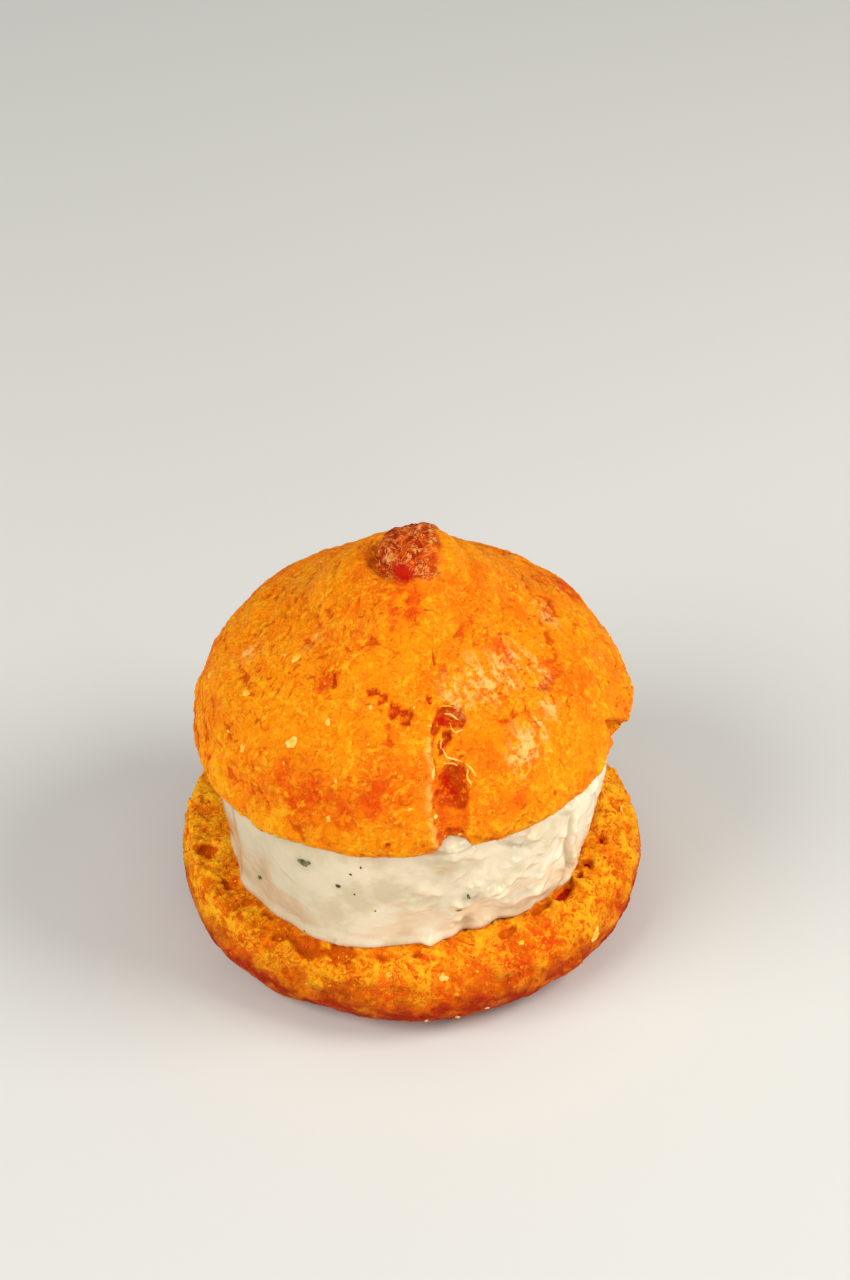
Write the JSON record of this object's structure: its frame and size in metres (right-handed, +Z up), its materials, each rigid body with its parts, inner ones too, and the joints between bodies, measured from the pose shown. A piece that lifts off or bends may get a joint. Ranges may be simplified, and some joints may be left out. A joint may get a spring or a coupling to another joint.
{
  "type": "cream puff",
  "caption": "a savoury cream puff: a choux bun cut level, its pointed lid resting on a thick layer of herbed cream in its base",
  "frame": {"origin": "middle of the underside of the whole puff's box, on the surface that it stands on", "axes": "+Z up, the side with the crack in the lid faces -Y, and +X is to the right seen from there"},
  "size_m": [0.0512, 0.0494, 0.0502],
  "materials": {
    "crust": "baked golden crust with an egg-wash sheen",
    "cream": "moist whipped cream, softly glossy",
    "herb": "moist chopped herb",
    "pepper": "dry ground pepper"
  },
  "bodies": {
    "root": {"base": "crust", "cream": "cream", "lid": "crust"}
  },
  "joints": []
}
